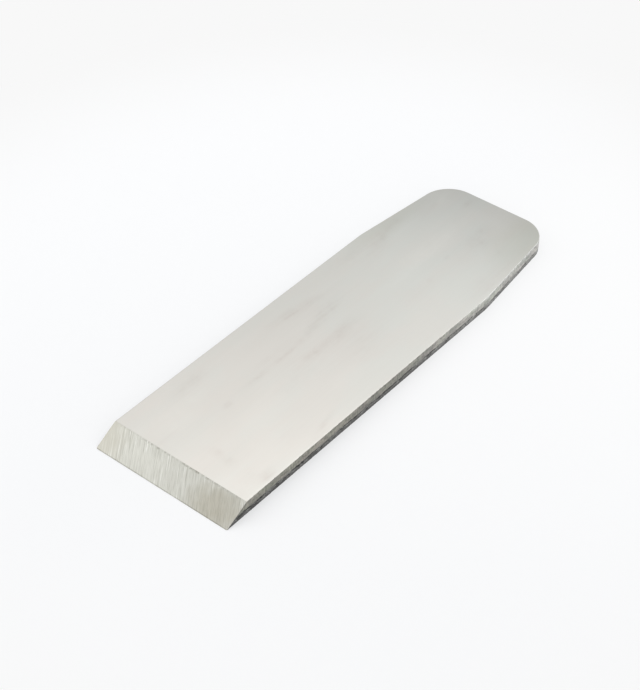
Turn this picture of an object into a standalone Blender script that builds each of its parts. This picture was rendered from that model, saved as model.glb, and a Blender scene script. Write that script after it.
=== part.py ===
# A plane iron: one flat blade of tool steel, sheared from plate and ground.
#
# It lies on its flat back with the bevel up. The cutting edge faces -Y, the
# tail +Y, the width runs along X and the thickness up +Z. The origin is the
# middle of the footprint, on the back. Lengths are in metres.

import math

import bpy
import bmesh
from mathutils import Vector
from mathutils import noise

# The blade
width = 0.0508
length = 0.1625
thickness = 0.00476

# The ground end: one flat bevel, a hair of land at the very edge, and the
# sharp corners of the edge just taken off
bevel_angle = math.radians(29.0)
edge_land = 0.0001
edge_corner_break = 0.00035

# The tail: from the shoulders the sides taper to a narrower, rounded end
shoulder_from_edge = 0.1218
shoulder_radius = 0.020
tail_width = 0.0421
tail_corner_radius = 0.0103

# The sheared edge, which runs round the whole outline. The top arris is
# rolled over. Under it the steel is burnished as far as the shear cut, and
# below that it broke: it steps in, then slopes in to the back.
edge_roll = 0.00015
shear_share_side = 0.53
shear_share_tail = 0.58
tear_step = 0.00005
tear_step_height = 0.00020
breakaway_front = 0.00006
breakaway_tail = 0.00010
back_arris = 0.00006

# How far the tear line strays, slowly and quickly, and how rough the broken
# steel is, each with the length over which it changes
tear_line_stray = 0.00016
tear_stray_length = 0.0045
tear_line_jag = 0.00018
tear_jag_length = 0.0027
tear_roughness = 0.00005
tear_grain = 0.0021

# The blank is sheared this much longer than the blade, and the bevel is then
# ground through its front end
grinding_allowance = 0.0030
blank_corner_radius = 0.0010

# Spacing of the section along the outline, and steps in its rounded places
station_spacing = 0.0012
arc_step = math.radians(5.0)
roll_steps = 4
torn_steps = 3

half_width = width / 2
edge_y = -length / 2
tail_y = length / 2
shoulder_y = edge_y + shoulder_from_edge
blank_front_y = edge_y - grinding_allowance
most_roll = 0.2 * thickness


def outline_corners():
    """Corners of the blank in plan, anticlockwise, each with its radius."""
    return [
        (Vector((-half_width, blank_front_y)), blank_corner_radius),
        (Vector((half_width, blank_front_y)), blank_corner_radius),
        (Vector((half_width, shoulder_y)), shoulder_radius),
        (Vector((tail_width / 2, tail_y)), tail_corner_radius),
        (Vector((-tail_width / 2, tail_y)), tail_corner_radius),
        (Vector((-half_width, shoulder_y)), shoulder_radius),
    ]


def rounded_corner(before, corner, after, radius):
    """(point, outward normal) along the arc that rounds one convex corner."""
    arriving = (corner - before).normalized()
    leaving = (after - corner).normalized()
    turn = arriving.angle(leaving)
    start = corner - arriving * radius * math.tan(turn / 2)
    normal = Vector((arriving.y, -arriving.x))
    centre = start - normal * radius
    steps = max(2, math.ceil(turn / arc_step))
    arc = []
    for step in range(steps + 1):
        angle = turn * step / steps
        across = Vector((
            normal.x * math.cos(angle) - normal.y * math.sin(angle),
            normal.x * math.sin(angle) + normal.y * math.cos(angle),
        ))
        arc.append((centre + across * radius, across))
    return arc


def outline_stations():
    """(point, outward normal) all round the blank, anticlockwise."""
    corners = outline_corners()
    arcs = []
    for index, (corner, radius) in enumerate(corners):
        before = corners[index - 1][0]
        after = corners[(index + 1) % len(corners)][0]
        arcs.append(rounded_corner(before, corner, after, radius))
    stations = []
    for index, arc in enumerate(arcs):
        stations += arc
        start, normal = arc[-1]
        end = arcs[(index + 1) % len(arcs)][0][0]
        runs = max(1, round((end - start).length / station_spacing))
        for run in range(1, runs):
            stations.append((start.lerp(end, run / runs), normal))
    return stations


def along_tail(y):
    """0 along the straight sides, rising to 1 within the tapered tail."""
    share = (y - shoulder_y) / (tail_corner_radius * 2) + 0.5
    share = min(max(share, 0.0), 1.0)
    return share * share * (3 - 2 * share)


def between(on_side, on_tail, share):
    return on_side + (on_tail - on_side) * share


def stray(point, wavelength, seed):
    """A smooth wander between about -1 and 1 that follows the outline."""
    place = Vector((point.x / wavelength, point.y / wavelength, seed))
    return noise.noise(place)


def section(point):
    """(inset, height) of the sheared edge at one station, from the back up."""
    sheared = between(shear_share_side, shear_share_tail, along_tail(point.y))
    tear_line = (thickness * (1 - sheared)
                 + tear_line_stray * stray(point, tear_stray_length, 1.7)
                 + tear_line_jag * stray(point, tear_jag_length, 6.2))
    length_share = (point.y - edge_y) / (shoulder_y - edge_y)
    length_share = min(max(length_share, 0.0), 1.0)
    breakaway = between(breakaway_front, breakaway_tail, length_share)
    step_foot = tear_line - tear_step_height
    profile = [
        (breakaway + back_arris, 0.0),
        (breakaway, back_arris),
    ]
    for step in range(1, torn_steps + 1):
        share = step / torn_steps
        inset = between(breakaway, tear_step, share)
        rough = tear_roughness * stray(point, tear_grain, 3.0 + 2.1 * step)
        profile.append((inset + rough, between(back_arris, step_foot, share)))
    profile.append((0.0, tear_line))
    roll = min(edge_roll, most_roll)
    for step in range(roll_steps + 1):
        angle = math.pi / 2 * step / roll_steps
        profile.append((roll * (1 - math.cos(angle)),
                        thickness - roll * (1 - math.sin(angle))))
    return profile


def sweep_blank(bm):
    """The sheared blank: its edge section swept round the outline."""
    columns = []
    for point, normal in outline_stations():
        column = []
        for inset, height in section(point):
            place = point - normal * inset
            column.append(bm.verts.new((place.x, place.y, height)))
        columns.append(column)
    for index, column in enumerate(columns):
        following = columns[(index + 1) % len(columns)]
        for level in range(len(column) - 1):
            bm.faces.new((column[level], following[level],
                          following[level + 1], column[level + 1]))
    bm.faces.new([column[0] for column in reversed(columns)])
    bm.faces.new([column[-1] for column in columns])


def grind_away(bm, point, outward):
    """Removes what lies beyond a plane, and closes the cut with one face."""
    everything = bm.verts[:] + bm.edges[:] + bm.faces[:]
    cut = bmesh.ops.bisect_plane(bm, geom=everything, dist=1e-7,
                                 plane_co=point, plane_no=outward,
                                 clear_outer=True)
    rim = [item for item in cut["geom_cut"]
           if isinstance(item, bmesh.types.BMEdge)]
    bmesh.ops.holes_fill(bm, edges=rim, sides=0)


def grind_cutting_edge(bm):
    """The bevel, the land at the edge and the two broken corners."""
    rise = Vector((0.0, -math.sin(bevel_angle), math.cos(bevel_angle)))
    grind_away(bm, Vector((0.0, edge_y, edge_land)), rise)
    grind_away(bm, Vector((0.0, edge_y, 0.0)), Vector((0.0, -1.0, 0.0)))
    for side in (-1.0, 1.0):
        corner = Vector((side * (half_width - edge_corner_break), edge_y, 0.0))
        grind_away(bm, corner, Vector((side, -1.0, 0.0)).normalized())


def ground_steel():
    """Bare satin-ground steel."""
    material = bpy.data.materials.new("ground_steel")
    material.use_nodes = True
    surface = material.node_tree.nodes["Principled BSDF"]
    surface.inputs["Base Color"].default_value = (0.61, 0.60, 0.57, 1.0)
    surface.inputs["Metallic"].default_value = 1.0
    surface.inputs["Roughness"].default_value = 0.38
    return material


def make_plane_iron():
    """The whole blade, as one closed solid."""
    bm = bmesh.new()
    sweep_blank(bm)
    grind_cutting_edge(bm)
    bmesh.ops.recalc_face_normals(bm, faces=bm.faces[:])
    mesh = bpy.data.meshes.new("plane_iron")
    bm.to_mesh(mesh)
    bm.free()
    mesh.shade_smooth()
    mesh.set_sharp_from_angle(angle=math.radians(25.0))
    mesh.materials.append(ground_steel())
    blade = bpy.data.objects.new("plane_iron", mesh)
    bpy.context.scene.collection.objects.link(blade)
    return blade


for leftover in list(bpy.data.objects):
    bpy.data.objects.remove(leftover, do_unlink=True)

make_plane_iron()
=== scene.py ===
import math

import bmesh
import bpy
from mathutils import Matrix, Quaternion, Vector, noise


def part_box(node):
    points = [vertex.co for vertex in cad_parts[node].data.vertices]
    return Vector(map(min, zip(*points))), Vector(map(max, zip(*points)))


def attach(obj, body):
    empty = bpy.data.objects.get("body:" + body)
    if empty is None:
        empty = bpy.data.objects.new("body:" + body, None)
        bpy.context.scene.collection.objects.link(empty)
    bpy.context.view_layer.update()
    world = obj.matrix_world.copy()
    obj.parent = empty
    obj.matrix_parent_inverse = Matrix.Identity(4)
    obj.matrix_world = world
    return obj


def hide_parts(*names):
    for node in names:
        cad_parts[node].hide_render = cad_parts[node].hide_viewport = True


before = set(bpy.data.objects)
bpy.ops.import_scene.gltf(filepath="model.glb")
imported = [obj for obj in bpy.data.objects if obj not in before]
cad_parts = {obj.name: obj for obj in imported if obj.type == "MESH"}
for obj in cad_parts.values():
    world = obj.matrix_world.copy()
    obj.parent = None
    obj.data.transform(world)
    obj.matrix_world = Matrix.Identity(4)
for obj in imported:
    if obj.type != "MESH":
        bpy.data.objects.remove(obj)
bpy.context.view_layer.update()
print("frame loaded")

millimetre = 0.001


def deselectAll():
    if bpy.context.mode != "OBJECT":
        bpy.ops.object.mode_set(mode="OBJECT")
    bpy.ops.object.select_all(action="DESELECT")


def easeBetween(low, high, value):
    # 0 at low, 1 at high, a smooth S in between
    share = min(max((value - low) / (high - low), 0.0), 1.0)
    return share * share * (3 - 2 * share)


# The blade. Its length, width and thickness are the frame's own.
blade = {
    "bevelAngle": 29.0,            # degrees
    "edgeLand": 0.10,              # all lengths here in millimetres
    "edgeCornerBreak": 0.35,
    "shoulderFromEdge": 121.8,
    "shoulderRadius": 20.0,
    "tailWidth": 42.1,
    "tailCornerRadius": 10.3,
    "grindingAllowance": 3.0,      # blank longer than the blade, at the edge
    "lappingAllowance": 0.3,       # and thicker, at the back
    "columnSpacing": 0.17,         # along the sheared edge
    "tailCornerSteps": 32,
    "shoulderSteps": 5,
    "topInset": 0.3,               # a narrow rim round the top face
    "sharpAngle": 25.0,            # degrees; flatter edges are shaded smooth
}

# The sheared edge: a rolled arris, a burnished band, then the torn steel
shear = {
    "roll": 0.15,
    "burnishedShareSide": 0.53,
    "burnishedShareTail": 0.58,
    "tearStep": 0.05,
    "tearStepHeight": 0.20,
    "breakawayFront": 0.06,        # the steel leans in more towards the tail
    "breakawayTail": 0.10,
    "backArris": 0.06,
    "lineStray": 0.16,             # slow wander of the tear line
    "lineStrayLength": 4.5,
    "lineJag": 0.28,               # quick wander of the same line
    "lineJagLength": 1.5,
    "grain": 0.10,                 # depth of the broken surface
    "grainSize": 0.75,
    "fineGrain": 0.045,
    "fineGrainSize": 0.28,
    "rowSpacing": 0.15,
    "rowsAboveLine": 0.45,         # the fine rows go on this far above the tear line
    "burnishedRows": 3,
    "rollRows": 9,
    "breakEase": 0.24,             # height over which the broken surface sets in
    "deepest": 1.0,                # what a full vertex weight moves
}

lowCorner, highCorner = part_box("plane_iron")
edgeY = lowCorner.y
tailY = highCorner.y
halfWidth = highCorner.x
thickness = highCorner.z - lowCorner.z
shoulderY = edgeY + blade["shoulderFromEdge"] * millimetre


def tailShare(y):
    blend = blade["tailCornerRadius"] * millimetre
    return easeBetween(shoulderY - blend, shoulderY + blend, y)


def tearLine(x, y):
    # height at which the shear cut stopped and the steel broke
    side, tail = shear["burnishedShareSide"], shear["burnishedShareTail"]
    shared = side + (tail - side) * tailShare(y)
    slow = shear["lineStrayLength"] * millimetre
    quick = shear["lineJagLength"] * millimetre
    wander = shear["lineStray"] * noise.noise(Vector((x / slow, y / slow, 1.7)))
    wander += shear["lineJag"] * noise.noise(Vector((x / quick, y / quick, 6.2)))
    return lowCorner.z + thickness * (1 - shared) + wander * millimetre


def sheared(x, y, z):
    # how far the section lies inside the outline at a height, in metres
    roll = shear["roll"] * millimetre
    above = z - (highCorner.z - roll)
    if above > 0:
        return roll - math.sqrt(max(roll * roll - above * above, 0.0))
    height = tearLine(x, y)
    step = shear["tearStep"] * millimetre
    stepFoot = height - shear["tearStepHeight"] * millimetre
    if z > stepFoot:
        return step * easeBetween(height, stepFoot, z)
    lengthShare = min(max((y - edgeY) / (shoulderY - edgeY), 0.0), 1.0)
    breakaway = shear["breakawayFront"] + (shear["breakawayTail"] - shear["breakawayFront"]) * lengthShare
    breakaway *= millimetre
    arris = lowCorner.z + shear["backArris"] * millimetre
    slope = (stepFoot - z) / (stepFoot - arris)
    return step + (breakaway - step) * slope + max(arris - z, 0.0)


def rowHeights():
    # from below the back to the top face
    heights = [lowCorner.z - blade["lappingAllowance"] * millimetre]
    tornTop = thickness * (1 - shear["burnishedShareSide"]) + shear["rowsAboveLine"] * millimetre
    rows = round(tornTop / (shear["rowSpacing"] * millimetre))
    heights += [lowCorner.z + tornTop * (row + 0.5) / rows for row in range(rows)]
    roll = shear["roll"] * millimetre
    rollFoot = thickness - roll
    gap = (rollFoot - tornTop) / shear["burnishedRows"]
    heights += [lowCorner.z + tornTop + gap * (row + 0.5) for row in range(shear["burnishedRows"])]
    for row in range(shear["rollRows"] + 1):
        angle = math.pi / 2 * row / shear["rollRows"]
        heights.append(highCorner.z - roll * (1 - math.sin(angle)))
    return heights


def cutAway(point, outward):
    bpy.ops.mesh.select_all(action="SELECT")
    bpy.ops.mesh.bisect(plane_co=point, plane_no=outward, use_fill=True, clear_outer=True, threshold=1e-8)


def roundCorners(piece, corners, radius, turn, segments):
    # corners of the flat outline, each a point in plan
    bpy.ops.mesh.select_all(action="DESELECT")
    mesh = bmesh.from_edit_mesh(piece.data)
    for vertex in mesh.verts:
        near = min((vertex.co.xy - Vector(corner)).length for corner in corners)
        vertex.select_set(near < 0.1 * millimetre)
    bmesh.update_edit_mesh(piece.data)
    tangent = radius * math.tan(turn / 2)
    bpy.ops.mesh.bevel(offset=tangent, segments=segments, profile=0.5, affect="VERTICES", clamp_overlap=False)


def divideOutline(piece, spacing, frontY):
    # halves every edge of the outline that is too long, but not the blank's front end
    while True:
        bpy.ops.mesh.select_all(action="DESELECT")
        mesh = bmesh.from_edit_mesh(piece.data)
        found = 0
        for edge in mesh.edges:
            atFront = max(vertex.co.y for vertex in edge.verts) < frontY + spacing
            if not atFront and edge.calc_length() > 1.5 * spacing:
                edge.select_set(True)
                found += 1
        bmesh.update_edit_mesh(piece.data)
        if not found:
            return
        bpy.ops.mesh.subdivide(number_cuts=1)


def addOutline():
    frontY = edgeY - blade["grindingAllowance"] * millimetre
    backZ = rowHeights()[0]
    bpy.ops.mesh.primitive_plane_add(size=1, location=(0, (frontY + tailY) / 2, backZ))
    piece = bpy.context.active_object
    piece.name = "planeIron"
    piece.scale = (2 * halfWidth, tailY - frontY, 1)
    bpy.ops.object.transform_apply(location=True, rotation=True, scale=True)

    bpy.ops.object.mode_set(mode="EDIT")
    tailHalf = blade["tailWidth"] * millimetre / 2
    lean = math.atan2(halfWidth - tailHalf, tailY - shoulderY)
    for side in (-1, 1):
        cutAway((side * halfWidth, shoulderY, 0), (side * math.cos(lean), math.sin(lean), 0))
    tailCorners = [(side * tailHalf, tailY) for side in (-1, 1)]
    shoulders = [(side * halfWidth, shoulderY) for side in (-1, 1)]
    roundCorners(piece, tailCorners, blade["tailCornerRadius"] * millimetre, math.pi / 2 - lean,
                 blade["tailCornerSteps"])
    roundCorners(piece, shoulders, blade["shoulderRadius"] * millimetre, lean, blade["shoulderSteps"])
    bpy.ops.mesh.select_all(action="SELECT")
    bpy.ops.mesh.delete(type="ONLY_FACE")
    divideOutline(piece, blade["columnSpacing"] * millimetre, frontY)
    return piece


def raiseWall():
    # the outline is drawn up row by row
    bpy.ops.mesh.select_all(action="SELECT")
    heights = rowHeights()
    for below, above in zip(heights, heights[1:]):
        bpy.ops.mesh.extrude_region_move(TRANSFORM_OT_translate={"value": (0, 0, above - below)})
    bpy.ops.mesh.select_all(action="SELECT")
    bpy.ops.mesh.normals_make_consistent(inside=False)
    bpy.ops.object.mode_set(mode="OBJECT")


def weighWall(piece):
    section = piece.vertex_groups.new(name="section")
    broken = piece.vertex_groups.new(name="broken")
    deepest = shear["deepest"] * millimetre
    ease = shear["breakEase"] * millimetre
    for vertex in piece.data.vertices:
        x, y, z = vertex.co
        section.add([vertex.index], sheared(x, y, z) / deepest, "REPLACE")
        line = tearLine(x, y)
        broken.add([vertex.index], 1 - easeBetween(line - ease, line, z), "REPLACE")


def breakTexture(name, kind, size):
    texture = bpy.data.textures.new(name, kind)
    texture.noise_scale = size * millimetre
    return texture


def pressInwards(piece, group, depth, texture=None):
    push = piece.modifiers.new(group, "DISPLACE")
    push.vertex_group = group
    push.strength = -depth * millimetre
    push.mid_level = 0.5 if texture else 0
    push.direction = "NORMAL"
    push.texture = texture
    bpy.ops.object.modifier_apply(modifier=push.name)


def grindBlade(piece):
    bpy.ops.object.mode_set(mode="EDIT")
    bpy.ops.mesh.select_all(action="SELECT")
    bpy.ops.mesh.fill_holes(sides=0)
    bpy.ops.mesh.normals_make_consistent(inside=False)
    cutAway((0, 0, lowCorner.z), (0, 0, -1))
    angle = math.radians(blade["bevelAngle"])
    land = lowCorner.z + blade["edgeLand"] * millimetre
    cutAway((0, edgeY, land), (0, -math.sin(angle), math.cos(angle)))
    cutAway((0, edgeY, 0), (0, -1, 0))
    inner = halfWidth - blade["edgeCornerBreak"] * millimetre
    for side in (-1, 1):
        cutAway((side * inner, edgeY, 0), (side * math.sqrt(0.5), -math.sqrt(0.5), 0))

    largeFace = 1e-3               # square metres
    bpy.ops.mesh.select_all(action="DESELECT")
    mesh = bmesh.from_edit_mesh(piece.data)
    for face in mesh.faces:
        face.select_set(face.normal.z > 0.9999 and face.calc_area() > largeFace)
    bmesh.update_edit_mesh(piece.data)
    bpy.ops.mesh.inset(thickness=blade["topInset"] * millimetre, use_even_offset=True)
    bpy.ops.object.mode_set(mode="OBJECT")


# material slots, in the order in which the steels are added below
groundSlot, bevelSlot, shearedSlot = 0, 1, 2


def sortFaces(piece):
    angle = math.radians(blade["bevelAngle"])
    bevelNormal = Vector((0, -math.sin(angle), math.cos(angle)))
    tip = edgeY + 0.5 * millimetre
    sliver = 1e-9                  # square metres
    for face in piece.data.polygons:
        atTip = face.center.y < tip and face.normal.y < -0.5
        if abs(face.normal.z) > 0.9995 and face.area > sliver:
            face.material_index = groundSlot
        elif face.normal.dot(bevelNormal) > 0.9999 or atTip:
            face.material_index = bevelSlot
        else:
            face.material_index = shearedSlot


def markEdge(piece):
    # for the material: millimetres below the tear line, and how far up the rolled arris
    depth = piece.data.attributes.new("tearDepth", "FLOAT", "POINT")
    rolled = piece.data.attributes.new("rolled", "FLOAT", "POINT")
    roll = shear["roll"] * millimetre
    for vertex in piece.data.vertices:
        x, y, z = vertex.co
        depth.data[vertex.index].value = (tearLine(x, y) - z) / millimetre
        rolled.data[vertex.index].value = easeBetween(highCorner.z - roll, highCorner.z - 0.4 * roll, z)


deselectAll()
planeIron = addOutline()
raiseWall()
print("blank drawn up,", len(planeIron.data.vertices), "points")
weighWall(planeIron)
pressInwards(planeIron, "section", shear["deepest"])
pressInwards(planeIron, "broken", shear["grain"], breakTexture("brokenSteel", "CLOUDS", shear["grainSize"]))
pressInwards(planeIron, "broken", shear["fineGrain"],
             breakTexture("brokenSteelFine", "CLOUDS", shear["fineGrainSize"]))
print("edge sheared")
grindBlade(planeIron)
planeIron.vertex_groups.clear()
sortFaces(planeIron)
markEdge(planeIron)
bpy.ops.object.shade_smooth_by_angle(angle=math.radians(blade["sharpAngle"]))
print("blade ground,", len(planeIron.data.polygons), "faces")


# Shared node work
def addNode(tree, kind, **settings):
    node = tree.nodes.new(kind)
    for name, value in settings.items():
        setattr(node, name, value)
    return node


def join(tree, source, target):
    tree.links.new(source, target)


def setOrJoin(tree, socket, value):
    if isinstance(value, bpy.types.NodeSocket):
        tree.links.new(value, socket)
    elif value is not None:
        socket.default_value = value


def mathNode(tree, operation, first, second=None, third=None, clamp=False):
    node = addNode(tree, "ShaderNodeMath", operation=operation, use_clamp=clamp)
    for socket, value in zip(node.inputs, (first, second, third)):
        setOrJoin(tree, socket, value)
    return node.outputs[0]


def rampBetween(tree, value, low, high, lowResult=0.0, highResult=1.0, smooth=True):
    node = addNode(tree, "ShaderNodeMapRange", clamp=True)
    node.interpolation_type = "SMOOTHSTEP" if smooth else "LINEAR"
    for name, amount in (("Value", value), ("From Min", low), ("From Max", high),
                         ("To Min", lowResult), ("To Max", highResult)):
        setOrJoin(tree, node.inputs[name], amount)
    return node.outputs["Result"]


def mixColours(tree, factor, first, second, blend="MIX"):
    node = addNode(tree, "ShaderNodeMix", data_type="RGBA", blend_type=blend)
    sockets = [socket for socket in node.inputs if socket.enabled]
    for socket, value in zip(sockets, (factor, first, second)):
        setOrJoin(tree, socket, value)
    return [socket for socket in node.outputs if socket.enabled][0]


def makeStreakGroup():
    # noise drawn out along one direction: grinding lines, draw marks, smoky patches
    group = bpy.data.node_groups.new("streaks", "ShaderNodeTree")
    sockets = (("Vector", "NodeSocketVector", (0, 0, 0)), ("Along", "NodeSocketVector", (0, 1, 0)),
               ("Across", "NodeSocketVector", (1, 0, 0)), ("Length", "NodeSocketFloat", 0.01),
               ("Width", "NodeSocketFloat", 0.001), ("Seed", "NodeSocketFloat", 0.0),
               ("Detail", "NodeSocketFloat", 2.0))
    for name, kind, value in sockets:
        socket = group.interface.new_socket(name, in_out="INPUT", socket_type=kind)
        socket.default_value = value
    group.interface.new_socket("Value", in_out="OUTPUT", socket_type="NodeSocketFloat")
    given = addNode(group, "NodeGroupInput")
    result = addNode(group, "NodeGroupOutput")
    parts = []
    for direction, size in (("Along", "Length"), ("Across", "Width")):
        dot = addNode(group, "ShaderNodeVectorMath", operation="DOT_PRODUCT")
        join(group, given.outputs["Vector"], dot.inputs[0])
        join(group, given.outputs[direction], dot.inputs[1])
        parts.append(mathNode(group, "DIVIDE", dot.outputs["Value"], given.outputs[size]))
    place = addNode(group, "ShaderNodeCombineXYZ")
    join(group, parts[0], place.inputs["X"])
    join(group, parts[1], place.inputs["Y"])
    join(group, given.outputs["Seed"], place.inputs["Z"])
    pattern = addNode(group, "ShaderNodeTexNoise", noise_dimensions="3D")
    pattern.inputs["Scale"].default_value = 1.0
    pattern.inputs["Roughness"].default_value = 0.55
    join(group, place.outputs["Vector"], pattern.inputs["Vector"])
    join(group, given.outputs["Detail"], pattern.inputs["Detail"])
    join(group, pattern.outputs["Fac"], result.inputs["Value"])
    return group


# One drawn-out spot with a frayed rim, used for smudges and also for painted shade and highlights: Mask is 1
# in its middle and 0 outside, Soft fades out slowly
spotShape = {
    "maskFull": -0.2,              # where Mask reaches 1; 1.0 is the rim and 0 the middle
    "softFade": 1.8,
    "frayScale": 320,
    "frayDetail": 2,
}


def makeSpotGroup():
    group = bpy.data.node_groups.new("softSpot", "ShaderNodeTree")
    sockets = (("Vector", "NodeSocketVector", (0, 0, 0)), ("Middle", "NodeSocketVector", (0, 0, 0)),
               ("Half Width", "NodeSocketFloat", 0.001), ("Half Length", "NodeSocketFloat", 0.008),
               ("Lean", "NodeSocketFloat", 0.0), ("Fray", "NodeSocketFloat", 0.5),
               ("Unevenness", "NodeSocketFloat", 1.6))
    for name, kind, value in sockets:
        socket = group.interface.new_socket(name, in_out="INPUT", socket_type=kind)
        socket.default_value = value
    for name in ("Mask", "Soft"):
        group.interface.new_socket(name, in_out="OUTPUT", socket_type="NodeSocketFloat")
    given = addNode(group, "NodeGroupInput")
    result = addNode(group, "NodeGroupOutput")
    offset = addNode(group, "ShaderNodeVectorMath", operation="SUBTRACT")
    join(group, given.outputs["Vector"], offset.inputs[0])
    join(group, given.outputs["Middle"], offset.inputs[1])
    parts = addNode(group, "ShaderNodeSeparateXYZ")
    join(group, offset.outputs["Vector"], parts.inputs["Vector"])
    leaning = mathNode(group, "MULTIPLY", parts.outputs["Y"], given.outputs["Lean"])
    across = mathNode(group, "SUBTRACT", parts.outputs["X"], leaning)
    acrossShare = mathNode(group, "DIVIDE", across, given.outputs["Half Width"])
    alongShare = mathNode(group, "DIVIDE", parts.outputs["Y"], given.outputs["Half Length"])
    squares = mathNode(group, "ADD", mathNode(group, "MULTIPLY", acrossShare, acrossShare),
                       mathNode(group, "MULTIPLY", alongShare, alongShare))
    swing = mathNode(group, "MULTIPLY", mathNode(group, "SUBTRACT", given.outputs["Fray"], 0.5),
                     given.outputs["Unevenness"])
    squares = mathNode(group, "ADD", squares, swing)
    join(group, rampBetween(group, squares, 1.0, spotShape["maskFull"]), result.inputs["Mask"])
    fading = mathNode(group, "EXPONENT", mathNode(group, "MULTIPLY", squares, -spotShape["softFade"]))
    join(group, fading, result.inputs["Soft"])
    return group


streakGroup = makeStreakGroup()
spotGroup = makeSpotGroup()


def streaks(tree, coordinates, along, across, length, width, seed, detail):
    node = addNode(tree, "ShaderNodeGroup", node_tree=streakGroup)
    join(tree, coordinates, node.inputs["Vector"])
    node.inputs["Along"].default_value = along
    node.inputs["Across"].default_value = across
    node.inputs["Length"].default_value = length * millimetre
    node.inputs["Width"].default_value = width * millimetre
    node.inputs["Seed"].default_value = seed
    node.inputs["Detail"].default_value = detail
    return node.outputs["Value"]


def frayNoise(tree, coordinates):
    noiseNode = addNode(tree, "ShaderNodeTexNoise", noise_dimensions="3D")
    noiseNode.inputs["Scale"].default_value = spotShape["frayScale"]
    noiseNode.inputs["Detail"].default_value = spotShape["frayDetail"]
    join(tree, coordinates, noiseNode.inputs["Vector"])
    return noiseNode.outputs["Fac"]


def softSpot(tree, coordinates, fray, x, fromEdge, halfWidthMm, halfLengthMm, lean, unevenness, soft=False):
    node = addNode(tree, "ShaderNodeGroup", node_tree=spotGroup)
    join(tree, coordinates, node.inputs["Vector"])
    join(tree, fray, node.inputs["Fray"])
    node.inputs["Middle"].default_value = (x * millimetre, edgeY + fromEdge * millimetre, 0)
    node.inputs["Half Width"].default_value = halfWidthMm * millimetre
    node.inputs["Half Length"].default_value = halfLengthMm * millimetre
    node.inputs["Lean"].default_value = lean
    node.inputs["Unevenness"].default_value = unevenness
    return node.outputs["Soft" if soft else "Mask"]


def spotsTogether(tree, coordinates, fray, places, unevenness, soft=True):
    together = 0.0
    for *place, strength in places:
        mark = softSpot(tree, coordinates, fray, *place, unevenness, soft)
        together = mathNode(tree, "MULTIPLY_ADD", mark, strength, together)
    return together


def bareMaterial(name):
    material = bpy.data.materials.new(name)
    material.use_nodes = True
    tree = material.node_tree
    surface = tree.nodes["Principled BSDF"]
    coordinates = addNode(tree, "ShaderNodeTexCoord").outputs["Object"]
    return material, tree, surface, coordinates


def bumpFrom(tree, height, distance, surface):
    bump = addNode(tree, "ShaderNodeBump")
    bump.inputs["Distance"].default_value = distance * millimetre
    join(tree, height, bump.inputs["Height"])
    join(tree, bump.outputs["Normal"], surface.inputs["Normal"])
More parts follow.
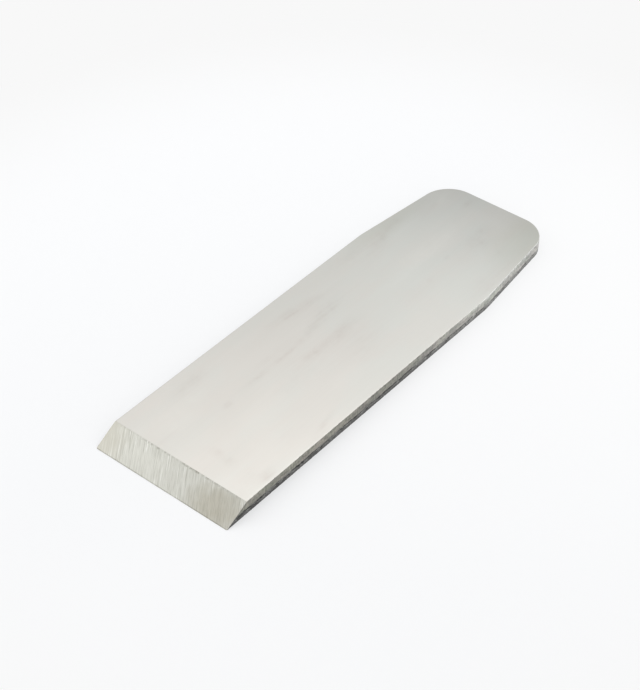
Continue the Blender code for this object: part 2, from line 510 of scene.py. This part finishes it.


# Top and back: satin steel, ground lengthwise. The colours are given by share of the length, with painted
# shade in them that darkens towards the tail.
groundFinish = {
    "colours": ((0.08, (0.643, 0.625, 0.589)), (0.43, (0.618, 0.608, 0.577)),
                (0.68, (0.647, 0.649, 0.618)), (0.77, (0.637, 0.642, 0.612)),
                (0.86, (0.602, 0.607, 0.580)), (0.95, (0.563, 0.568, 0.543)),
                (1.0, (0.523, 0.527, 0.503))),
    # painted light and shade across the blade: a little darker on the left, lighter on the right
    "leftShade": (0.985, 0.985, 0.985, 1), "rightShade": (1.04, 1.04, 1.04, 1),
    "roughness": 0.38,
    "roughnessSwing": 0.015,
    # streaks: length and width in millimetres, seed, detail
    "patches": (60, 16, 3.1, 2),
    "tints": (22, 9, 12.3, 3),
    "lines": (18, 0.16, 8.4, 1),
    "gaps": (9, 0.9, 1.7, 2),                    # they break up the smudges
    "smokyColour": (0.90, 0.89, 0.88, 1),
    "smokyStrength": 0.16,
    "lineStrength": 0.12,
    "lineDepth": 0.0012,
    "warmColour": (1.0, 0.990, 0.984, 1),
    "coolColour": (0.988, 0.996, 0.992, 1),
    # in the lists below: x, distance from the cutting edge, half width and half length in millimetres,
    # lean, strength
    # the smudges and the broad clouds are both darkened with this colour
    "markColour": (0.845, 0.80, 0.79, 1),
    "markStrength": 0.40,
    "smudgeUnevenness": 1.4,
    "smudges": ((-17.0, 79.5, 2.2, 12, 0.13, 1.10), (-9.1, 83.5, 2.5, 12.5, -0.12, 0.58),
                (-7.3, 75.5, 1.6, 7, -0.12, 0.50), (-6.1, 64, 1.1, 9, -0.03, 0.80),
                (-5.7, 56, 0.9, 7, 0, 0.30), (-5.8, 48.5, 1.1, 8, 0.03, 0.60),
                (-0.3, 84.5, 2.6, 9.5, 0, 0.62), (0.7, 76.5, 2.2, 7, 0, 0.72),
                (0.2, 68.5, 1.8, 7.5, 0, 0.75), (-19.8, 36, 2.7, 5.5, 0, 0.72),
                (-19.2, 28.5, 2.5, 5.5, 0, 0.50), (-4.7, 34, 1.3, 2.4, 0, 0.70),
                (6.3, 17.4, 2.7, 2.0, 0, 0.75), (11.0, 17.2, 2.5, 2.2, 0, 0.45),
                (-8.7, 12.5, 1.0, 6, 0, 0.33), (23.2, 20, 1.9, 4, 0, 0.90),
                (22.2, 46, 1.3, 7.5, -0.25, 0.58), (3.6, 130, 1.1, 1.7, 0, 0.65),
                (15.0, 142.6, 1.3, 2.0, 0, 0.25), (6.2, 117, 1.4, 1.8, 0, 0.25),
                (-8.3, 157, 1.6, 4, 0, 0.55), (6.8, 141.5, 3.8, 4.5, 0, 0.55),
                (4.4, 148, 2.8, 6.5, -0.15, 0.30), (-20.6, 133, 2.5, 5.5, 0, 0.45),
                (-19.6, 125, 2.7, 6.5, 0, 0.60)),
    "cloudUnevenness": 0.9,
    "clouds": ((7.5, 145.5, 6.5, 8, 0, 0.22), (7, 82, 7.5, 11, 0, 0.32), (-10.5, 87, 5.0, 10, 0, 0.22),
               (17, 35, 4.0, 7.5, 0, 0.20), (20.5, 17, 5, 6, 0, 0.42), (23, 9.5, 4, 4, 0, 0.35),
               (-21, 112, 4, 14, 0, 0.45), (-16.5, 119, 4, 9, 0, 0.38), (-17, 147, 4, 9, 0, 0.42),
               (4, 58, 7.5, 18, 0, 0.28), (21.5, 128, 4.5, 14, 0, 0.48), (12.5, 78, 3, 7, 0, 0.30),
               (-8.5, 59, 2.3, 12, 0, 0.35)),
    "paleColour": (1.05, 1.05, 1.05, 1),
    "paleUnevenness": 0.8,
    "paleAreas": ((-3.4, 134, 4.6, 21, 0.02, 0.95), (-1.5, 109, 4.0, 13, 0, 0.35),
                  (15, 104, 6.5, 16, 0, 0.25), (15, 65, 4.5, 9, 0, 0.20),
                  (9, 33, 6.5, 13, -0.25, 0.35), (-12, 20, 7, 12, 0, 0.65),
                  (-14.5, 30, 2.6, 6, 0, 0.35), (15.5, 149, 3.4, 5, 0, 0.35),
                  (-10, 141, 3.5, 10, 0, 0.30), (-16.3, 153.5, 1.7, 6, -0.25, 0.55)),
    # painted shade: darker towards the two tail corners, on the back as well as the top
    "cornerShade": (0.90, 0.90, 0.87, 1),
    "cornerUnevenness": 0.15,
    "cornerShades": ((21, 158, 17, 27, 0, 1.0), (-25, 134, 9, 26, 0, 0.75)),
}


def colourAlongBlade(tree, coordinates, stops):
    parts = addNode(tree, "ShaderNodeSeparateXYZ")
    join(tree, coordinates, parts.inputs["Vector"])
    ramp = addNode(tree, "ShaderNodeValToRGB")
    ramp.color_ramp.interpolation = "B_SPLINE"
    while len(ramp.color_ramp.elements) < len(stops):
        ramp.color_ramp.elements.new(0.5)
    for element, (share, colour) in zip(ramp.color_ramp.elements, stops):
        element.position = share
        element.color = colour + (1,)
    join(tree, rampBetween(tree, parts.outputs["Y"], edgeY, tailY, smooth=False), ramp.inputs["Fac"])
    return ramp.outputs["Color"]


def groundSteel():
    material, tree, surface, coordinates = bareMaterial("groundSteel")
    lengthwise, crosswise = (0, 1, 0), (1, 0, 0)
    patches, tints, lines, gaps = (streaks(tree, coordinates, lengthwise, crosswise, *groundFinish[kind])
                                   for kind in ("patches", "tints", "lines", "gaps"))
    # the steel colour along the blade, with painted shade darkening it towards the tail
    colour = colourAlongBlade(tree, coordinates, groundFinish["colours"])
    tint = mixColours(tree, rampBetween(tree, tints, 0.36, 0.64),
                      groundFinish["warmColour"], groundFinish["coolColour"])
    colour = mixColours(tree, 1.0, colour, tint, "MULTIPLY")
    parts = addNode(tree, "ShaderNodeSeparateXYZ")
    join(tree, coordinates, parts.inputs["Vector"])
    # painted light and shade, lighter towards the right
    acrossShare = rampBetween(tree, parts.outputs["X"], -halfWidth, halfWidth, smooth=False)
    shade = mixColours(tree, acrossShare, groundFinish["leftShade"], groundFinish["rightShade"])
    colour = mixColours(tree, 1.0, colour, shade, "MULTIPLY")
    smoky = mathNode(tree, "MULTIPLY", rampBetween(tree, patches, 0.35, 0.65), groundFinish["smokyStrength"])
    colour = mixColours(tree, smoky, colour, groundFinish["smokyColour"], "MULTIPLY")
    lined = mathNode(tree, "MULTIPLY", rampBetween(tree, lines, 0.40, 0.70), groundFinish["lineStrength"])
    colour = mixColours(tree, lined, colour, groundFinish["smokyColour"], "MULTIPLY")
    fray = frayNoise(tree, coordinates)
    # painted shade at the tail corners
    corners = spotsTogether(tree, coordinates, fray, groundFinish["cornerShades"],
                              groundFinish["cornerUnevenness"], soft=False)
    colour = mixColours(tree, corners, colour, groundFinish["cornerShade"], "MULTIPLY")
    # the pale areas, clouds and smudges are on the top alone
    onTop = rampBetween(tree, parts.outputs["Z"], lowCorner.z, highCorner.z, smooth=False)
    pale = spotsTogether(tree, coordinates, fray, groundFinish["paleAreas"], groundFinish["paleUnevenness"])
    pale = mathNode(tree, "MULTIPLY", pale, onTop)
    colour = mixColours(tree, pale, colour, groundFinish["paleColour"], "MULTIPLY")
    smudges = spotsTogether(tree, coordinates, fray, groundFinish["smudges"],
                              groundFinish["smudgeUnevenness"])
    clouds = spotsTogether(tree, coordinates, fray, groundFinish["clouds"], groundFinish["cloudUnevenness"])
    marks = mathNode(tree, "ADD", smudges, clouds)
    marks = mathNode(tree, "MULTIPLY", marks, rampBetween(tree, gaps, 0.30, 0.65, 0.55, 1.15))
    strength = mathNode(tree, "MULTIPLY", onTop, groundFinish["markStrength"])
    marks = mathNode(tree, "MULTIPLY", marks, strength)
    colour = mixColours(tree, marks, colour, groundFinish["markColour"], "MULTIPLY")
    join(tree, colour, surface.inputs["Base Color"])
    surface.inputs["Metallic"].default_value = 1.0
    half = groundFinish["roughnessSwing"]
    join(tree, rampBetween(tree, patches, 0.3, 0.7, groundFinish["roughness"] - half,
                           groundFinish["roughness"] + half), surface.inputs["Roughness"])
    bumpFrom(tree, lines, groundFinish["lineDepth"], surface)
    return material


# Bevel: straight off the wheel, with slanting lines
bevelFinish = {
    "colour": (0.629, 0.627, 0.576, 1),
    "fineColour": (0.84, 0.84, 0.82, 1),
    "darkColour": (0.66, 0.65, 0.62, 1),
    "brightColour": (0.80, 0.80, 0.76, 1),
    "tarnishColour": (0.82, 0.79, 0.735, 1),
    "shineColour": (1.05, 1.05, 1.05, 1),
    "roughness": 0.38,
    "lineSlant": 61.0,             # degrees to the cutting edge
    "lineDepth": 0.006,
    # lines and patches: length and width in millimetres, seed, detail
    "fine": (4.0, 0.14, 7.7, 1),
    "dark": (8.0, 0.22, 11.6, 1),
    "light": (9.0, 0.24, 2.3, 1),
    "patches": (14, 5, 4.4, 2),
    "groups": (5, 9, 15.2, 1),                   # the light lines come in groups
    "dashes": (1.0, 6, 5.2, 2),                  # they break up the line under the top face
    "fineStrength": 0.88, "darkStrength": 0.55, "lightStrength": 0.90,
    # places: x, distance from the cutting edge, half width and half length in millimetres, lean, unevenness
    # shine: a painted highlight, a broad band lighter than the steel
    "shine": (-9, 4.2, 10, 3.2, 0, 0.8),
    "tarnish": (18.6, 3.3, 13, 6.5, 0, 0.7),
    "dullEnd": (-25.5, 3.0, 10, 12, 0, 0.8),
    "dullStrength": 0.65,
    "ridgeReach": 0.55,            # how far the wheel lines draw the darker line down from the top face
    "ridgeFade": 0.12,
    "edgeLine": 0.14,              # height of the one along the cutting edge
}


def bevelSteel():
    material, tree, surface, coordinates = bareMaterial("bevelSteel")
    slope = math.radians(blade["bevelAngle"])
    slant = math.radians(bevelFinish["lineSlant"])
    upSlope = Vector((0, math.cos(slope), math.sin(slope)))
    crosswise = Vector((1, 0, 0))
    along = crosswise * math.cos(slant) - upSlope * math.sin(slant)
    across = crosswise * math.sin(slant) + upSlope * math.cos(slant)
    fine, dark, light = (streaks(tree, coordinates, along, across, *bevelFinish[kind])
                         for kind in ("fine", "dark", "light"))
    patches, groups, dashes = (streaks(tree, coordinates, crosswise, upSlope, *bevelFinish[kind])
                               for kind in ("patches", "groups", "dashes"))
    parts = addNode(tree, "ShaderNodeSeparateXYZ")
    join(tree, coordinates, parts.inputs["Vector"])
    height = parts.outputs["Z"]

    colour = bevelFinish["colour"]
    fray = frayNoise(tree, coordinates)
    # painted highlight across the bevel
    shine = softSpot(tree, coordinates, fray, *bevelFinish["shine"])
    colour = mixColours(tree, shine, colour, bevelFinish["shineColour"], "MULTIPLY")
    tarnish = softSpot(tree, coordinates, fray, *bevelFinish["tarnish"])
    tarnish = mathNode(tree, "MULTIPLY", tarnish, rampBetween(tree, patches, 0.25, 0.6, 0.75, 1.0))
    dull = softSpot(tree, coordinates, fray, *bevelFinish["dullEnd"])
    dull = mathNode(tree, "MULTIPLY", dull, bevelFinish["dullStrength"])
    crisp = rampBetween(tree, dull, 0.0, bevelFinish["dullStrength"], 1.0, 0.5)
    tarnish = mathNode(tree, "MAXIMUM", tarnish, dull)
    colour = mixColours(tree, tarnish, colour, bevelFinish["tarnishColour"], "MULTIPLY")
    fineLines = mathNode(tree, "MULTIPLY", rampBetween(tree, fine, 0.54, 0.36), bevelFinish["fineStrength"])
    fineLines = mathNode(tree, "MULTIPLY", fineLines, crisp)
    colour = mixColours(tree, fineLines, colour, bevelFinish["fineColour"], "MULTIPLY")
    darkLines = mathNode(tree, "MULTIPLY", rampBetween(tree, dark, 0.42, 0.30), bevelFinish["darkStrength"])
    darkLines = mathNode(tree, "MULTIPLY", darkLines, crisp)
    colour = mixColours(tree, darkLines, colour, bevelFinish["darkColour"], "MULTIPLY")
    lightLines = rampBetween(tree, light, 0.56, 0.66)
    lightLines = mathNode(tree, "MULTIPLY", lightLines, bevelFinish["lightStrength"])
    lightLines = mathNode(tree, "MULTIPLY", lightLines, rampBetween(tree, groups, 0.40, 0.58, 0.15, 1.0))
    lightLines = mathNode(tree, "MULTIPLY", lightLines, rampBetween(tree, tarnish, 0.7, 0.1, 0.2, 1.0))
    colour = mixColours(tree, lightLines, colour, bevelFinish["brightColour"])
    wheelLines = mathNode(tree, "MAXIMUM", light, fine)
    uneven = mathNode(tree, "MULTIPLY_ADD", wheelLines, bevelFinish["ridgeReach"] * millimetre, height)
    top = highCorner.z
    ridge = rampBetween(tree, uneven, top, top + bevelFinish["ridgeFade"] * millimetre)
    ridge = mathNode(tree, "MULTIPLY", ridge, rampBetween(tree, dashes, 0.44, 0.56, 0.15, 1.0))
    edgeLine = bevelFinish["edgeLine"] * millimetre
    foot = rampBetween(tree, height, edgeLine * 2, edgeLine)
    lines = mathNode(tree, "MULTIPLY", mathNode(tree, "MAXIMUM", ridge, foot),
                     rampBetween(tree, patches, 0.35, 0.6, 0.15, 0.9))
    colour = mixColours(tree, lines, colour, bevelFinish["darkColour"], "MULTIPLY")
    join(tree, colour, surface.inputs["Base Color"])
    surface.inputs["Metallic"].default_value = 1.0
    surface.inputs["Roughness"].default_value = bevelFinish["roughness"]
    relief = mathNode(tree, "ADD", mathNode(tree, "MULTIPLY", fine, 0.4), light)
    bumpFrom(tree, relief, bevelFinish["lineDepth"], surface)
    return material


# Sheared edge: burnished above the tear line, broken and darker below it. Its colours are also darkened with
# painted shade, for the shaded paper beside it that it mirrors.
edgeFinish = {
    "arrisColour": (0.66, 0.655, 0.61, 1),       # rolled over, above the burnished band; its lightness is partly a painted highlight
    # painted highlight on the rolled arris towards the tail
    "arrisTailColour": (0.78, 0.79, 0.76, 1),
    "burnishedColour": (0.420, 0.410, 0.362, 1),
    "burnishedShade": (0.290, 0.286, 0.260, 1),
    "scuffColour": (0.72, 0.72, 0.72, 1),
    # painted light and shade: the edge lighter and darker by share of the length
    "shadesAlong": ((0.05, (0.912, 0.934, 0.897)), (0.19, (1.011, 0.979, 0.978)),
                    (0.31, (0.872, 0.863, 0.855)), (0.44, (0.741, 0.741, 0.748)),
                    (0.55, (0.892, 0.892, 0.925)), (0.65, (0.865, 0.874, 0.907)),
                    (0.80, (0.836, 0.857, 0.899)), (0.90, (0.832, 0.844, 0.895))),
    "reddishStain": (1.02, 0.99, 0.99, 1),
    "greenishStain": (0.98, 1.005, 0.96, 1),
    "tornColour": (0.215, 0.214, 0.203, 1),
    "tornFleck": (0.40, 0.40, 0.385, 1),
    # painted shade: the near-black in the pits under the tear line
    "pitShadeColour": (0.040, 0.040, 0.038, 1),
    "tailPits": 0.80,              # strength of the pits at the tail, and low down
    "lowPits": 0.60,
    "lowShade": (0.87, 0.87, 0.875, 1),          # painted shade: the lower half of the torn steel darker
    "lowFrom": 1.6, "lowTo": 0.9,                # heights above the back
    "footShade": (0.73, 0.73, 0.745, 1),         # painted shade, darker still close above the back
    "footFrom": 1.0, "footTo": 0.4,
    "tailGain": 1.68,              # painted light: how much lighter the edge is at the tail
    "tailGainStart": 78, "tailGainEnd": 124,     # from the cutting edge
    "upperGlow": 0.55,             # painted highlight: how far its upper part goes to the arris colour there
    "glowStart": 96, "glowEnd": 126,
    "glowDepth": 1.3, "glowFullDepth": 0.1,      # under the top face
    "burnishedRoughness": 0.36,
    "tornRoughness": 0.55,
    "drawDepth": 0.012,
    # streaks: length and width in millimetres, seed, detail
    "grain": (0.55, 0.30, 5.5, 3),
    "blotches": (3.4, 0.95, 21.4, 3),
    "clouds": (5.0, 2.5, 9.3, 2),
    "scuffs": (1.1, 0.9, 4.1, 3),
    "reach": (2.6, 6.0, 6.6, 1),                 # how far down the pits go
    "hues": (3.6, 2.4, 13.7, 2),
    "drawMarks": (3.0, 0.42, 1.9, 2),            # these stand upright
}


def shearedSteel():
    material, tree, surface, coordinates = bareMaterial("shearedSteel")
    depth = addNode(tree, "ShaderNodeAttribute", attribute_name="tearDepth").outputs["Fac"]
    level, upright = (0.6, 0.8, 0), (0, 0, 1)
    drawn = streaks(tree, coordinates, upright, level, *edgeFinish["drawMarks"])
    grain, blotches, clouds, scuffs, reach, hues = (
        streaks(tree, coordinates, level, upright, *edgeFinish[kind])
        for kind in ("grain", "blotches", "clouds", "scuffs", "reach", "hues"))
    parts = addNode(tree, "ShaderNodeSeparateXYZ")
    join(tree, coordinates, parts.inputs["Vector"])
    atTail = rampBetween(tree, parts.outputs["Y"], edgeY + edgeFinish["tailGainStart"] * millimetre,
                         edgeY + edgeFinish["tailGainEnd"] * millimetre)

    # the torn edge runs up and down with the grain and the blotches
    ragged = mathNode(tree, "MULTIPLY_ADD", grain, 0.5, mathNode(tree, "ADD", depth, -0.70))
    ragged = mathNode(tree, "MULTIPLY_ADD", blotches, 0.9, ragged)
    torn = rampBetween(tree, ragged, -0.06, 0.10)
    speckle = rampBetween(tree, scuffs, 0.42, 0.58, 0.35, 1.25)
    shade = mathNode(tree, "MULTIPLY_ADD", drawn, 0.5, mathNode(tree, "MULTIPLY", clouds, 0.5))
    burnished = mixColours(tree, rampBetween(tree, shade, 0.42, 0.58),
                           edgeFinish["burnishedColour"], edgeFinish["burnishedShade"])
    burnished = mixColours(tree, rampBetween(tree, scuffs, 0.50, 0.36), burnished,
                           edgeFinish["scuffColour"], "MULTIPLY")
    # painted light and shade along the length
    burnished = mixColours(tree, 1.0, burnished,
                           colourAlongBlade(tree, coordinates, edgeFinish["shadesAlong"]), "MULTIPLY")
    stain = mixColours(tree, rampBetween(tree, hues, 0.38, 0.62), edgeFinish["reddishStain"],
                       edgeFinish["greenishStain"])
    burnished = mixColours(tree, 1.0, burnished, stain, "MULTIPLY")
    broken = mixColours(tree, rampBetween(tree, grain, 0.52, 0.68),
                        edgeFinish["tornColour"], edgeFinish["tornFleck"])
    pitFoot = rampBetween(tree, reach, 0.42, 0.58, 0.7, 2.4)
    # the pits are hollows of the broken steel; their near-black is painted shade
    underLine = mathNode(tree, "MULTIPLY", rampBetween(tree, ragged, -0.02, 0.12),
                         rampBetween(tree, ragged, pitFoot, mathNode(tree, "MULTIPLY", pitFoot, 0.7)))
    pits = mathNode(tree, "MULTIPLY", underLine, rampBetween(tree, blotches, 0.57, 0.47))
    pits = mathNode(tree, "MULTIPLY", pits, rampBetween(tree, grain, 0.60, 0.44, 0.68, 0.96))
    pits = mathNode(tree, "MULTIPLY", pits,
                    rampBetween(tree, atTail, 0.0, 1.0, 1.0, edgeFinish["tailPits"], smooth=False))
    pits = mathNode(tree, "MULTIPLY", pits, rampBetween(tree, scuffs, 0.42, 0.52, 0.55, 1.05))
    # painted shade, the torn steel darker towards the back
    low = rampBetween(tree, parts.outputs["Z"], edgeFinish["lowFrom"] * millimetre,
                      edgeFinish["lowTo"] * millimetre)
    pits = mathNode(tree, "MULTIPLY", pits,
                    rampBetween(tree, low, 0.0, 1.0, 1.0, edgeFinish["lowPits"], smooth=False))
    broken = mixColours(tree, pits, broken, edgeFinish["pitShadeColour"])
    broken = mixColours(tree, low, broken, edgeFinish["lowShade"], "MULTIPLY")
    foot = rampBetween(tree, parts.outputs["Z"], edgeFinish["footFrom"] * millimetre,
                       edgeFinish["footTo"] * millimetre)
    broken = mixColours(tree, foot, broken, edgeFinish["footShade"], "MULTIPLY")
    colour = mixColours(tree, torn, burnished, broken)
    # painted light, the edge lighter towards the tail
    gain = rampBetween(tree, atTail, 0.0, 1.0, 1.0, edgeFinish["tailGain"], smooth=False)
    lighter = addNode(tree, "ShaderNodeVectorMath", operation="SCALE")
    join(tree, colour, lighter.inputs[0])
    join(tree, gain, lighter.inputs["Scale"])
    # painted highlight: the rolled arris, and near the tail the upper wall, go to the arris colour
    rolled = addNode(tree, "ShaderNodeAttribute", attribute_name="rolled").outputs["Fac"]
    nearTail = rampBetween(tree, parts.outputs["Y"], edgeY + edgeFinish["glowStart"] * millimetre,
                           edgeY + edgeFinish["glowEnd"] * millimetre)
    upper = rampBetween(tree, parts.outputs["Z"], thickness - edgeFinish["glowDepth"] * millimetre,
                        thickness - edgeFinish["glowFullDepth"] * millimetre, 0.0, edgeFinish["upperGlow"])
    glow = mathNode(tree, "MULTIPLY", nearTail, mathNode(tree, "MULTIPLY", upper, speckle))
    rolled = mathNode(tree, "MULTIPLY", rolled, rampBetween(tree, scuffs, 0.36, 0.50, 0.6, 1.0))
    rolled = mathNode(tree, "MAXIMUM", rolled, glow)
    arris = mixColours(tree, nearTail, edgeFinish["arrisColour"], edgeFinish["arrisTailColour"])
    join(tree, mixColours(tree, rolled, lighter.outputs["Vector"], arris), surface.inputs["Base Color"])
    surface.inputs["Metallic"].default_value = 1.0
    join(tree, rampBetween(tree, torn, 0.0, 1.0, edgeFinish["burnishedRoughness"],
                           edgeFinish["tornRoughness"], smooth=False), surface.inputs["Roughness"])
    relief = mathNode(tree, "MULTIPLY_ADD", mathNode(tree, "MULTIPLY", grain, torn), 3.0, drawn)
    bumpFrom(tree, relief, edgeFinish["drawDepth"], surface)
    return material


for material in (groundSteel(), bevelSteel(), shearedSteel()):
    planeIron.data.materials.append(material)
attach(planeIron, "root")
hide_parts("plane_iron")
print("steel finished")


# Floor: white paper. Part of what the eye sees of it is its own white, so shadows stay faint.
floorFinish = {
    "radius": 3.0,                 # metres
    "sides": 96,
    "rimHeight": 0.9,              # the paper is turned up at its rim, as behind a product table
    "rimCurve": 0.4,
    "turnSteps": 8,
    "drop": 0.00002,               # keeps the paper clear of the steel
    "roughness": 0.9,
    "paperColour": (0.950, 0.96, 0.975, 1),
    "whiteColour": (0.985, 0.988, 0.992, 1),
    # painted pool of light: the paper glows whiter near the blade than far out
    "farColour": (0.939, 0.939, 0.939, 1),
    # painted light: the blade's shadow on the paper lightened more on the right and towards the tail, less on
    # the left
    "whiteningLeft": 0.40, "whiteningRightFront": 0.54, "whiteningRightTail": 0.82,
    "nearRadius": 0.10, "farRadius": 0.19,
}


def paperFloor():
    material, tree, surface, coordinates = bareMaterial("paper")
    output = tree.nodes["Material Output"]
    surface.inputs["Base Color"].default_value = floorFinish["paperColour"]
    surface.inputs["Roughness"].default_value = floorFinish["roughness"]
    surface.inputs["Specular IOR Level"].default_value = 0.0
    distance = addNode(tree, "ShaderNodeVectorMath", operation="LENGTH")
    join(tree, coordinates, distance.inputs[0])
    # painted light: the paper's glow shades off with distance and its share varies beside the blade
    outer = rampBetween(tree, distance.outputs["Value"], floorFinish["nearRadius"], floorFinish["farRadius"])
    glow = addNode(tree, "ShaderNodeEmission")
    join(tree, mixColours(tree, outer, floorFinish["whiteColour"], floorFinish["farColour"]),
         glow.inputs["Color"])
    parts = addNode(tree, "ShaderNodeSeparateXYZ")
    join(tree, coordinates, parts.inputs["Vector"])
    right = rampBetween(tree, parts.outputs["Y"], edgeY, tailY,
                        floorFinish["whiteningRightFront"], floorFinish["whiteningRightTail"])
    near = rampBetween(tree, parts.outputs["X"], -halfWidth, halfWidth,
                       floorFinish["whiteningLeft"], right)
    whitening = rampBetween(tree, outer, 0.0, 1.0, near, 1.0, smooth=False)
    path = addNode(tree, "ShaderNodeLightPath")
    seen = mathNode(tree, "ADD", path.outputs["Is Camera Ray"], path.outputs["Is Glossy Ray"], clamp=True)
    seen = mathNode(tree, "ADD", seen, path.outputs["Is Transmission Ray"], clamp=True)
    mix = addNode(tree, "ShaderNodeMixShader")
    join(tree, mathNode(tree, "MULTIPLY", seen, whitening), mix.inputs["Fac"])
    join(tree, surface.outputs["BSDF"], mix.inputs[1])
    join(tree, glow.outputs["Emission"], mix.inputs[2])
    join(tree, mix.outputs["Shader"], output.inputs["Surface"])
    return material


def layFloor():
    radius, curve, turnSteps = floorFinish["radius"], floorFinish["rimCurve"], floorFinish["turnSteps"]
    deselectAll()
    bpy.ops.mesh.primitive_circle_add(vertices=floorFinish["sides"], radius=radius, fill_type="NGON",
                                      location=(0, 0, lowCorner.z - floorFinish["drop"]))
    sheet = bpy.context.active_object
    sheet.name = "floor"
    bpy.ops.object.transform_apply(location=True, rotation=True, scale=True)
    bpy.ops.object.mode_set(mode="EDIT")
    bpy.ops.mesh.select_all(action="DESELECT")
    mesh = bmesh.from_edit_mesh(sheet.data)
    for edge in mesh.edges:
        if edge.is_boundary:
            edge.select_set(True)
    bmesh.update_edit_mesh(sheet.data)
    # the rim goes out and up along a quarter circle, then straight up
    for step in range(turnSteps):
        angle, following = (math.pi / 2 * (step + share) / turnSteps for share in (0, 1))
        out = curve * (math.sin(following) - math.sin(angle))
        rise = curve * (math.cos(angle) - math.cos(following))
        reached = radius + curve * math.sin(angle)
        bpy.ops.mesh.extrude_region_move(TRANSFORM_OT_translate={"value": (0, 0, rise)})
        bpy.ops.transform.resize(value=((reached + out) / reached, (reached + out) / reached, 1))
    straight = floorFinish["rimHeight"] - curve
    bpy.ops.mesh.extrude_region_move(TRANSFORM_OT_translate={"value": (0, 0, straight)})
    bpy.ops.object.mode_set(mode="OBJECT")
    bpy.ops.object.shade_smooth()
    return sheet


floor = layFloor()
floor.data.materials.append(paperFloor())
print("floor laid")


# Room: the same pale grey all round
roomColour = (0.72, 0.72, 0.72, 1)


def lightRoom():
    world = bpy.data.worlds.new("room")
    bpy.context.scene.world = world
    world.use_nodes = True
    world.node_tree.nodes["Background"].inputs["Color"].default_value = roomColour


# Softboxes: azimuth from +Y towards +X and elevation in degrees, distance and size in metres.
# Brightness is that of their face, where 1 is white.
softboxes = {
    "behind": {"azimuth": 0, "elevation": 60, "distance": 0.7, "size": 0.4, "brightness": 1.66},
    "left": {"azimuth": -60, "elevation": 60, "distance": 0.7, "size": 0.4, "brightness": 0.89},
    "frontLeft": {"azimuth": -120, "elevation": 30, "distance": 0.7, "size": 0.4, "brightness": 1.36},
}


def addSoftbox(name, box):
    azimuth, elevation = math.radians(box["azimuth"]), math.radians(box["elevation"])
    outwards = Vector((math.sin(azimuth) * math.cos(elevation),
                       math.cos(azimuth) * math.cos(elevation), math.sin(elevation)))
    bpy.ops.object.light_add(type="AREA", location=outwards * box["distance"])
    lamp = bpy.context.active_object
    lamp.name = name
    lamp.rotation_euler = outwards.to_track_quat("Z", "Y").to_euler()
    lamp.data.shape = "SQUARE"
    lamp.data.size = box["size"]
    lamp.data.energy = box["brightness"] * math.pi * box["size"] ** 2


lightRoom()
for boxName, boxValues in softboxes.items():
    addSoftbox(boxName, boxValues)
print("lights set")


# Camera, at the photograph's angle
view = {
    "azimuth": 40.12, "elevation": 41.35, "roll": -0.55,      # degrees
    "distance": 0.5461,            # metres
    "target": (-0.00426, -0.00565, 0.0),
    "focalLength": 92.7,           # millimetres, like the sensor
    "sensorWidth": 36,
}


def addCamera():
    azimuth, elevation = math.radians(view["azimuth"]), math.radians(view["elevation"])
    towards = Vector((math.sin(azimuth) * math.cos(elevation),
                      -math.cos(azimuth) * math.cos(elevation), math.sin(elevation)))
    bpy.ops.object.camera_add(location=Vector(view["target"]) + towards * view["distance"])
    camera = bpy.context.active_object
    turned = Quaternion(towards, math.radians(view["roll"])) @ towards.to_track_quat("Z", "Y")
    camera.rotation_euler = turned.to_euler()
    camera.data.lens = view["focalLength"]
    camera.data.sensor_width = view["sensorWidth"]
    bpy.context.scene.camera = camera


addCamera()
bpy.context.scene.view_settings.view_transform = "Standard"
print("camera placed")
